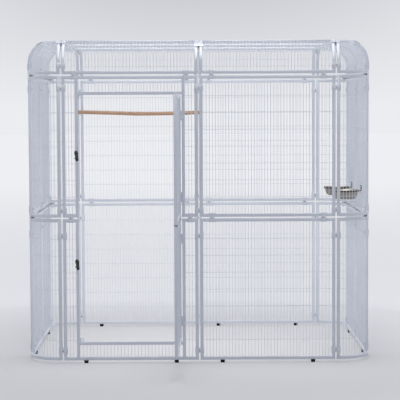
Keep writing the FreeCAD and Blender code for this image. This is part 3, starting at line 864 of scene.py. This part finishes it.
plateKinds = {
    # a plate outside and one inside, except under the roof, where there is only the lower plate
    "across": joinPieces([bowTie(), bowTie(y=tube, side=1)]),
    "along": joinPieces([bowTie(True), bowTie(True, tube, 1)]),
    "under": bowTie(),
}
bolt = clampBolt(tube + clamp["thick"])
shortBolt = clampBolt(tube - clamp["short"])  # its nut lies between the roof's tubes


def finishClamps(name, places, fastener=bolt, body="cage"):
    plates = [placePiece(copyPiece(plateKinds[kind]), place) for place, kind in places]
    bolts = [placePiece(copyPiece(fastener), place) for place, _ in places]
    finishPiece(joinPieces(plates), f"{name}_clamp_plates", "pressed", body=body)
    finishPiece(joinPieces(bolts), f"{name}_clamp_bolts", "", "bolt_steel", body, boltZinc)


for wall in walls:
    finishClamps(wall, wallClampPlaces(wall))
cornerClamps = []
for turn, x, y in (place for places in corners.values() for place in places):
    around = 90 - cornerBend if turn in (-90, 90) else cornerBend
    onBend = cornerPlace(turn, x, y) @ moved(bendCentre) @ turned(around)
    for z in (middleJoint, roofJoint):
        cornerClamps.append((onBend @ moved((0, -bendRadius, z)), "along"))
finishClamps("corner", cornerClamps)
finishClamps("roof", [
    (moved((x, y, ridge - tube)) @ turned(90) @ turned(90, "X"), "under")
    for x in (-jointX / 2, jointX / 2) for y in (-jointY, jointY)
], shortBolt)
finishClamps("door", [
    (leafPlace @ moved((x, leafFace, middleJoint)), "along")
    for x in (leafLeft + clamp["inset"], leafRight - clamp["inset"])
], body="door")
removePiece(*plateKinds.values(), bolt, shortBolt)

jamb = inMetres({"height": 45, "thick": 2})
zSpan = (middleJoint - jamb["height"] / 2, middleJoint + jamb["height"] / 2)
jambPlates = [
    box((x, x + jamb["thick"]), (0, tube), zSpan, softened["plate"])
    for x in (door["left"], door["right"] - jamb["thick"])
]
finishPiece(inWall(joinPieces(jambPlates)), "jamb_plates", "pressed")
print("clamps bolted")

latch = inMetres({
    "x": -763.5, "back": 13.0, "front": 18.0, "plate": 46, "plateThick": 2.5, "earReach": 6.5,
    "earHeight": 5, "earOffset": 15, "spacer": 6.58, "stud": 4, "gap": 0.3, "head": 7,
    "headHeight": 4, "length": 66, "width": 19, "corner": 6, "bore": 4.15,
    "knob": 6, "neck": 3.72, "capDepth": 5, "neckEnd": 3, "knobHeight": 10, "knobOffset": 22,
})
latchHeights = {"lower": 625 * mm, "upper": 1307 * mm}
latchTilt = 8


def latchBase(z):
    half, left = latch["plate"] / 2, latch["x"] - tube / 2
    thickness = (-latch["plateThick"], 0)
    parts = [box((left, left + tube), thickness, (z - half, z + half), softened["plate"])]
    for ear in (z - latch["earOffset"], z + latch["earOffset"]):
        span = (ear - latch["earHeight"] / 2, ear + latch["earHeight"] / 2)
        reach = (left - latch["earReach"], left + mm)
        parts.append(box(reach, thickness, span, softened["plate"]))
    near = latch["plateThick"] - latch["gap"]
    back, head = latch["back"], latch["front"] + latch["gap"]
    return joinPieces(parts + spindle(
        (latch["x"], 0, z), -alongY,
        (near, back - latch["gap"], latch["spacer"], studSides, softened["cast"]),
        (back - 2 * mm, head + mm, latch["stud"], studSides),
        (head, head + latch["headHeight"], latch["head"], 6, softened["pressed"]),
    ))


# Flat bar with cut corners; the bore clears the stud
def latchBar(z):
    pivot = (latch["x"], -latch["back"], z)
    front, far = latch["front"], latch["front"] + latch["knobHeight"]
    bar = roundSheet(pivot, (latch["width"], latch["length"]), standing, latch["corner"], 4)
    pull((0, latch["back"] - front, 0))
    closeShell()
    cutAway(bar, *spindle((latch["x"], 0, z), -alongY, (0, 3 * front, latch["bore"], studSides)))
    roundEdges(bar, softened["cast"])
    bar = joinPieces([bar, *spindle(
        (latch["x"], 0, z + latch["knobOffset"]), -alongY,
        (front - latch["gap"], far - latch["neckEnd"], latch["neck"], roundSides),
        (far - latch["capDepth"], far, latch["knob"], roundSides, softened["knob"]),
    )])
    return placePiece(bar, turnedAbout(pivot, -latchTilt, "Y"))


for name, z in latchHeights.items():
    finishPiece(inWall(latchBase(z)), f"{name}_latch_base", "cast", "latch_black")
    bar = inWall(latchBar(z))
    finishPiece(bar, f"{name}_latch_bar", "cast", "latch_black", f"{name}_latch")

keeper = inMetres({"length": 47, "width": 16, "height": 12, "thick": 2.5, "foot": 7, "crown": 6})


# Strap bent like a roof, with flat feet on the leaf's face
def doorKeeper(z):
    length, crown, rise = keeper["length"] / 2, keeper["crown"] / 2, keeper["height"]
    end = length - keeper["foot"]
    line = [(-length, 0), (-end, 0), (-crown, rise), (crown, rise), (end, 0), (length, 0)]
    half = keeper["thick"] / 2
    points = [
        Vector((leafLeft + tube / 2, leafFace - half - out * (rise - 2 * half) / rise, z + along))
        for along, out in line
    ]
    strap = sheet(points[0], (keeper["width"], 2 * half))
    startEdit(strap)
    for before, after in zip(points, points[1:]):
        pull(after - before)
    closeShell()
    return placePiece(roundEdges(strap, softened["turned"]), leafPlace)


keepers = joinPieces([doorKeeper(z) for z in latchHeights.values()])
finishPiece(keepers, "door_keepers", "bent", body="door")

stop = inMetres({"size": 21, "hole": 11, "thick": 2.5, "round": 2})


# Looped tab welded behind a corner of the doorway
def doorStop(bottom):
    left, right = door["left"], door["left"] + stop["size"]
    top = bottom + stop["size"]
    margin = (stop["size"] - stop["hole"]) / 2
    tab = box((latch["x"], right), (tube, tube + stop["thick"]), (bottom, top))
    loop = (left + margin, right - margin), (0, 2 * tube), (bottom + margin, top - margin)
    cutAway(tab, box(*loop, stop["round"]))
    return roundEdges(tab, softened["plate"])


stops = joinPieces([doorStop(z) for z in (door["sill"], door["lintel"] - stop["size"])])
finishPiece(inWall(stops), "door_stops", "bent")
print("latches fitted")

foot = inMetres({"width": 28, "sole": 24, "inset": 145, "corner": 4})
# Rise in mm and widening of each ring, up to the groove; a flange of the full width follows
footRings = ((2, 1.02), (8, 1.05), (0.5, 0.93), (1.5, 1.0))


# Square rubber foot: flared block with soft edges and a groove below its flange
def rubberFoot():
    middle = (0, tube / 2, 0)
    piece = roundSheet(middle, (foot["sole"], foot["sole"]), (0, 0, 0), foot["corner"], 3)
    flange = foot["width"] / foot["sole"] / math.prod(wider for _, wider in footRings)
    for rise, wider in (*footRings, (0.5, flange), (4.5, 1.0)):
        pull((0, 0, rise * mm))
        widen((wider, wider, 1), middle)
    closeShell()
    return roundEdges(piece, softened["cast"], 2, 50)


template = rubberFoot()
feet = []
for wall, (_, _, spacing) in walls.items():
    places = [-spacing + foot["inset"], spacing - foot["inset"]]
    if wall in ("front", "back"):
        places += [-foot["inset"], foot["inset"]]
    feet += [inWall(copyPiece(template, (x, 0, 0)), wall) for x in places]
removePiece(template)
finishPiece(joinPieces(feet), "rubber_feet", "moulded", "foot_rubber")
print("feet set")

perch = inMetres({
    "height": 1567, "radius": 14.5, "left": -875, "length": 890, "inward": 14,
    "bolt": 3.8, "boltIn": 10, "washer": 15.5, "washerThick": 2, "nut": 6.65, "nutHeight": 8,
    "wing": 32, "wingThick": 3, "bumps": 45, "bumpHeight": 1.6,
})
perchRise = (0.6, 0.47, 0.28, 0.08, -0.18, -0.33, -0.34, -0.29, -0.22, -0.05, 0.3)
perchSwell = (0.92, 0.97, 1.0, 0.96, 0.99, 1.02, 0.98, 0.96, 0.99, 0.97, 0.93)
perchY = halfDepth - tube - perch["inward"]


def perchHeight(x):
    place = min(max((x - perch["left"]) / perch["length"], 0), 1) * (len(perchRise) - 1)
    first = min(int(place), len(perchRise) - 2)
    rise = perchRise[first] + (perchRise[first + 1] - perchRise[first]) * (place - first)
    return perch["height"] + perch["radius"] * rise


def sideFace(face):
    return abs(face.normal.x) > 0.9


# Branch: a ring pulled from section to section, smoothed, then roughened a little
def branch():
    spans = len(perchRise) - 1
    before = Vector((perch["left"], perchY, perchHeight(perch["left"])))
    piece = disc(before, perch["radius"] * perchSwell[0], 16, (0, quarter, 0))
    for i in range(1, spans + 1):
        x = perch["left"] + perch["length"] * i / spans
        after = Vector((x, perchY, perchHeight(x)))
        pull(after - before)
        swell = perchSwell[i] / perchSwell[i - 1]
        widen((1, swell, swell), after)
        before = after
    closeShell()
    startEdit(piece)
    selectFaces(piece, sideFace)
    bpy.ops.mesh.inset(thickness=1.6 * mm)
    stopEdit()
    addModifier(piece, "SUBSURF", levels=3, render_levels=3)
    texture = bpy.data.textures.new("branchBumps", "CLOUDS")
    texture.noise_scale = perch["bumps"]
    return addModifier(
        piece, "DISPLACE", texture=texture, strength=perch["bumpHeight"], mid_level=0.7,
        texture_coords="LOCAL",
    )


# Screw through the joint with a round washer and a wing nut outside
def perchBolt(x):
    y, z = halfDepth, perchHeight(x)
    nutStart = y + perch["washerThick"]
    end = nutStart + perch["nutHeight"]
    start = y - tube - perch["boltIn"]
    shank, washer, hub = spindle(
        (x, 0, z), alongY, (start, end, perch["bolt"], 16, softened["turned"]),
        (y, nutStart, perch["washer"], 40, softened["turned"]),
        (nutStart, end, perch["nut"], roundSides, mm),
    )
    startEdit(hub)
    selectFaces(hub, lambda face: face.normal.y > 0.9)
    widen((0.72, 1, 0.72), (x, end, z))
    stopEdit()
    half, thick = perch["wing"] / 2, perch["wingThick"] / 2
    depth = (nutStart + 0.6 * mm, end - 0.2 * mm)
    wing = box((x - half, x + half), depth, (z - thick, z + thick))
    startEdit(wing)
    bpy.ops.mesh.subdivide(number_cuts=1)
    selectFaces(wing, sideFace)
    widen((1, 0.62, 1), (x, end - 2.5 * mm, z))
    stopEdit()
    roundEdges(wing, softened["wing"], 3)
    return joinPieces([shank, washer, hub, wing])


finishPiece(branch(), "perch", "branch", "perch_wood")
perchBolts = joinPieces([perchBolt(x) for x in (-jointX, 0)])
finishPiece(perchBolts, "perch_bolts", "turned", "bolt_steel")
print("perch screwed on")

bowl = inMetres({
    "rim": 1059, "depth": 60, "rimRadius": 92, "rimThick": 3, "base": 54,
    "wall": 1.2, "reach": 116, "backDrop": 8, "hoopHeight": 9, "hoopThick": 2.2,
    "bracketWidth": 30, "bracketHeight": 38, "bracketRise": 4, "bracketThick": 3,
    "bracketBend": 7, "wireRoom": 2.2, "arm": 3, "boltRadius": 2.9, "boltTip": 4,
    "knob": 9, "knobHeight": 8,
})
bowlSides = 72
bowlX, bowlY = halfWidth - bowl["reach"], jointY / 2
bowlBottom = bowl["rim"] - bowl["depth"]
hoopTop = bowl["rim"] - bowl["rimThick"]
hoopBottom = hoopTop - bowl["hoopHeight"]
bracketBottom = hoopBottom + bowl["bracketRise"]
bracketTop = bracketBottom + bowl["bracketHeight"]
bracketOuter = halfWidth - tube / 2
clampInner = bracketOuter + bowl["wireRoom"]
# Radius and height in mm of each ring, from the rounded foot to the rolled rim
bowlRings = (
    (58, 0.6), (62, 2.6), (66.5, 6.2), (71, 11), (75, 17), (78, 24.5), (80.6, 34), (83, 45),
    (84.8, 52), (85.8, 55.8), (87.2, 58.2), (89.0, 59.4), (90.8, 59.4), (91.8, 58.6), (91.8, 57.6),
)


# Spun dish: a disc pulled up ring by ring and then given its sheet thickness
def steelBowl(y):
    centre = (bowlX, y, bowlBottom)
    dish = disc(centre, bowl["base"], bowlSides, mode="EDGE")
    selectMesh("DESELECT")
    bpy.ops.mesh.select_non_manifold()
    radius, height = bowl["base"], 0.0
    for ring, rise in bowlRings:
        lift = (0, 0, rise * mm - height)
        bpy.ops.mesh.extrude_edges_move(TRANSFORM_OT_translate={"value": lift})
        wider = ring * mm / radius
        widen((wider, wider, 1), centre)
        radius, height = ring * mm, rise * mm
    selectMesh()
    bpy.ops.mesh.normals_make_consistent(inside=False)
    stopEdit()
    addModifier(dish, "SOLIDIFY", thickness=bowl["wall"], offset=-1.0)
    return roundEdges(dish, softened["dish"], 2, 50)


# Bracket strap: pulled up along the wires and bent inwards at the top into a hook
def hookStrap(y):
    thick, hook = bowl["bracketThick"], bowl["bracketBend"]
    x = bracketOuter - thick / 2
    strap = sheet((x, y, bracketBottom), (thick, bowl["bracketWidth"]))
    startEdit(strap)
    bendAt = bracketTop - hook - thick / 2
    pull((0, 0, bendAt - bracketBottom))
    bend((x - hook, y, bendAt), alongY, -math.radians(100), 8)
    pull((-1.5 * mm, 0, -0.3 * mm))
    closeShell()
    startEdit(strap, "EDGE")
    selectMesh("DESELECT")
    stopEdit()
    for edge in strap.data.edges:
        ends = [strap.data.vertices[i].co for i in edge.vertices]
        edge.select = abs(ends[0].x - ends[1].x) > mm and ends[0].z < bracketBottom + mm
    enterEdit()
    bpy.ops.mesh.bevel(offset=8 * mm, segments=5)
    stopEdit()
    return roundEdges(strap, softened["turned"], 2, 50)


# Hoop, arm and hooked bracket in one weldment
def bowlHolder(y):
    thick = bowl["hoopThick"]
    bpy.ops.mesh.primitive_torus_add(
        major_segments=bowlSides, minor_segments=12, major_radius=bowl["rimRadius"] - thick,
        minor_radius=thick, location=(bowlX, y, 0),
    )
    hoop = addedPiece()
    startEdit(hoop)
    widen((1, 1, bowl["hoopHeight"] / (2 * thick)), (bowlX, y, 0))
    bpy.ops.transform.translate(value=(0, 0, (hoopBottom + hoopTop) / 2))
    stopEdit()
    above = 1.1 * bowl["arm"]
    armStart = (bowlX + bowl["rimRadius"] - thick, y, hoopBottom + above)
    armEnd = (bracketOuter - bowl["bracketThick"] + mm, y, bracketBottom + above)
    return joinPieces([hoop, rod(armStart, armEnd, bowl["arm"], 16), hookStrap(y)])


# Outer plate, bolt and fluted knob that draw the bracket against the wires
def bowlClamp(y):
    outer = clampInner + bowl["bracketThick"]
    half = bowl["bracketWidth"] / 2
    z = (bracketBottom + bracketTop) / 2
    start = bracketOuter - bowl["bracketThick"] - bowl["boltTip"]
    zSpan = (bracketBottom, bracketTop)
    plate = box((clampInner, outer), (y - half, y + half), zSpan, softened["cast"])
    shank = rod((start, y, z), (outer, y, z), bowl["boltRadius"], 16, softened["turned"])
    knobEnd = (outer + bowl["knobHeight"], y, z)
    knob = rod((outer, y, z), knobEnd, bowl["knob"] * 0.98, roundSides)
    startEdit(knob)

    def isFlute(face):
        across, rise = face.center.y - y, face.center.z - z
        turn = round(math.degrees(math.atan2(rise, across)) / (360 / roundSides) - 0.5)
        onRim = math.hypot(across, rise) > bowl["knob"] * 0.9
        return abs(face.normal.x) < 0.1 and onRim and turn % 4 == 0

    selectFaces(knob, isFlute)
    widen((1, 0.9, 0.9), (outer, y, z))
    stopEdit()
    roundEdges(knob, softened["pressed"], 2, 50)
    return joinPieces([plate, shank, knob])


for name, y, drop in (("front", -bowlY, 0), ("back", bowlY, bowl["backDrop"])):
    lowered = moved((0, 0, -drop))
    node = f"{name}_bowl"
    steel = spunStainless(f"spunStainless_{name}", Vector((bowlX, y, 0)) + toOrigin)
    dish, holder, fixing = [
        placePiece(make(y), lowered) for make in (steelBowl, bowlHolder, bowlClamp)
    ]
    finishPiece(dish, node, "spun", "bowl_steel", node, steel, 40)
    finishPiece(holder, node + "_hoop", "bent", "holder_black")
    finishPiece(fixing, node + "_clamp", "cast", "holder_black")
print("bowls hung")

# the near colour is a painted shadow round the cage, fading into the middle colour a few metres
# out; wash is the strength of the floor's glow, which is painted light
stage = {
    "size": 160.0, "near": "#B9B8B9", "middle": "#D0CFD0", "far": "#F6F4F2", "wash": 0.38,
    "centre": (-0.2, -0.5, 0), "shadowTo": (1.1, 3.2), "farTo": (2.9, 22.0), "ease": 0.5,
}


# Studio floor: darker round the cage, a painted shadow of it, and paler far off; its own glow is
# painted light that evens out the floor and the shadows cast on it
def shadowPaintedFloor():
    material, add, shader, place = newFinish("shadowPaintedFloor")
    around = add("VectorMath", {0: place, 1: stage["centre"]}, operation="SUBTRACT")
    distance = add("VectorMath", {0: around}, operation="LENGTH")
    distance = distance.outputs["Value"]
    # fades the painted shadow out from its centre near the cage
    shadowFade = add("MapRange", {
        "Value": distance, "From Min": stage["shadowTo"][0], "From Max": stage["shadowTo"][1],
    }, interpolation_type="SMOOTHSTEP")
    farSpread = add("MapRange", {
        "Value": distance, "From Min": stage["farTo"][0], "From Max": stage["farTo"][1],
    })
    eased = add("Math", {0: farSpread, 1: stage["ease"]}, operation="POWER")
    shadowPaint = add("Mix", {
        "Factor": shadowFade, "A": stage["near"], "B": stage["middle"],
    }, data_type="RGBA")
    paint = add("Mix", {"Factor": eased, "A": shadowPaint, "B": stage["far"]}, data_type="RGBA")
    # the glow is painted light: the floor shines though it is no lamp
    setInputs(shader, {
        "Base Color": paint, "Roughness": 0.9, "Specular IOR Level": 0.1,
        "Emission Color": paint, "Emission Strength": stage["wash"],
    })
    return material


bpy.ops.mesh.primitive_plane_add(size=stage["size"], location=(0, 0, 0))
floor = bpy.context.object
floor.name = "studioFloor"
floor.data.materials.append(shadowPaintedFloor())

light = {
    "sky": 0.40, "skyColour": "#DCE4F6", "overhead": 0.8, "overheadSoft": 20,
    "horizon": "#ECEDF1", "high": "#C9CACF", "highAt": 0.085, "sideAt": 0.14, "sideShare": 0.6,
}
lamps = {
    "topSoftbox": {
        "power": 60, "size": (3.0, 1.0), "place": (0, -0.75, 5.2), "aim": (0, 0.6, 1.0),
    },
    # shows only as the sheen on the arches and rims
    "frontSoftbox": {
        "power": 900, "size": (4.0, 6.5), "place": (0, -4.6, 6.3), "aim": (0, -0.8, 1.9),
        "only": "sheen",
    },
    # graze the side walls and the open leaf, and never reach the door side's faces
    "leftSoftbox": {
        "power": 9, "size": (2.0, 2.0), "place": (-3.4, 0.5, 2.0), "aim": (-1, -0.3, 1.3),
    },
    "rightSoftbox": {
        "power": 9, "size": (2.0, 2.0), "place": (3.4, 0.5, 2.0), "aim": (1, -0.3, 1.3),
    },
    # stands in the door side's plane, for the light that the pale floor throws on the far walls
    "insideFill": {
        "power": 4.5, "size": (2.0, 1.8), "place": (0, -0.74, 1.0), "aim": (0, 1, 1.0),
        "only": "matte",
    },
    # hangs low in the cage and evens out its floor
    "floorWash": {
        "power": 3.5, "size": (1.9, 1.3), "place": (0, 0, 0.85), "aim": (0, 0, 0),
        "only": "matte",
    },
}
world = bpy.data.worlds.new("studioWorld")
bpy.context.scene.world = world
world.use_nodes = True
tree = world.node_tree
add = partial(addNode, tree)
soft = tree.nodes["Background"]
setInputs(soft, {"Color": light["skyColour"], "Strength": light["sky"]})
# the backdrop is brightest at the floor line and falls off upwards, most of all in the middle
direction = add("TexCoord").outputs["Generated"]
towards = add("SeparateXYZ", {"Vector": direction}).outputs
rise = add("MapRange", {"Value": towards["Z"], "From Max": light["highAt"]})
across = add("Math", {0: towards["X"], 1: towards["X"]}, operation="MULTIPLY")
share = add("MapRange", {
    "Value": across, "From Max": light["sideAt"] ** 2, "To Min": 1.0, "To Max": light["sideShare"],
})
dim = add("Math", {0: rise, 1: share}, operation="MULTIPLY")
backdrop = add("Mix", {"Factor": dim, "A": light["horizon"], "B": light["high"]}, data_type="RGBA")
seen = add("Background", {"Color": backdrop, "Strength": 1.0})
rays = add("LightPath").outputs
sharp = add("Math", {0: rays["Is Camera Ray"], 1: rays["Is Glossy Ray"]}, operation="MAXIMUM")
clear = add("Math", {0: sharp, 1: rays["Is Transmission Ray"]}, operation="MAXIMUM")
mixed = add("MixShader", {0: clear, 1: soft, 2: seen})
setInputs(tree.nodes["World Output"], {"Surface": mixed})

bpy.ops.object.light_add(type="SUN", location=(0, 0, 5))
overhead = bpy.context.object
overhead.name = "overheadSoftbox"
overhead.data.energy = light["overhead"]
overhead.data.angle = math.radians(light["overheadSoft"])

for name, lamp in lamps.items():
    bpy.ops.object.light_add(type="AREA", location=Vector(lamp["place"]) + toOrigin)
    softbox = bpy.context.object
    softbox.name = name
    softbox.data.shape = "RECTANGLE"
    softbox.data.size, softbox.data.size_y = lamp["size"]
    softbox.data.energy = lamp["power"]
    softbox.visible_camera = False
    softbox.visible_diffuse = lamp.get("only") != "sheen"
    softbox.visible_glossy = lamp.get("only") != "matte"
    aim = Vector(lamp["aim"]) - Vector(lamp["place"])
    softbox.rotation_euler = aim.to_track_quat("-Z", "Y").to_euler()

# Fitted to the joints of the frame in the photograph, with the depth held at an assumed size
view = {
    "place": (-38.7, -9924.5, 1601.0), "focal": 1462.1, "frame": 400, "sensor": 36,
    "pitch": 3.596, "yaw": 0.279, "roll": -0.26,
}
camera = bpy.data.objects.new("photoCamera", bpy.data.cameras.new("photoCamera"))
bpy.context.scene.collection.objects.link(camera)
camera.data.sensor_width = view["sensor"]
camera.data.sensor_fit = "HORIZONTAL"
camera.data.lens = view["focal"] / view["frame"] * view["sensor"]
camera.location = Vector(view["place"]) * mm + toOrigin
aim = Euler((math.radians(90 - view["pitch"]), 0, math.radians(-view["yaw"]))).to_matrix()
camera.rotation_euler = (aim @ Matrix.Rotation(math.radians(view["roll"]), 3, "Z")).to_euler()
bpy.context.scene.camera = camera
bpy.context.scene.view_settings.view_transform = "Standard"
print("stage lit")
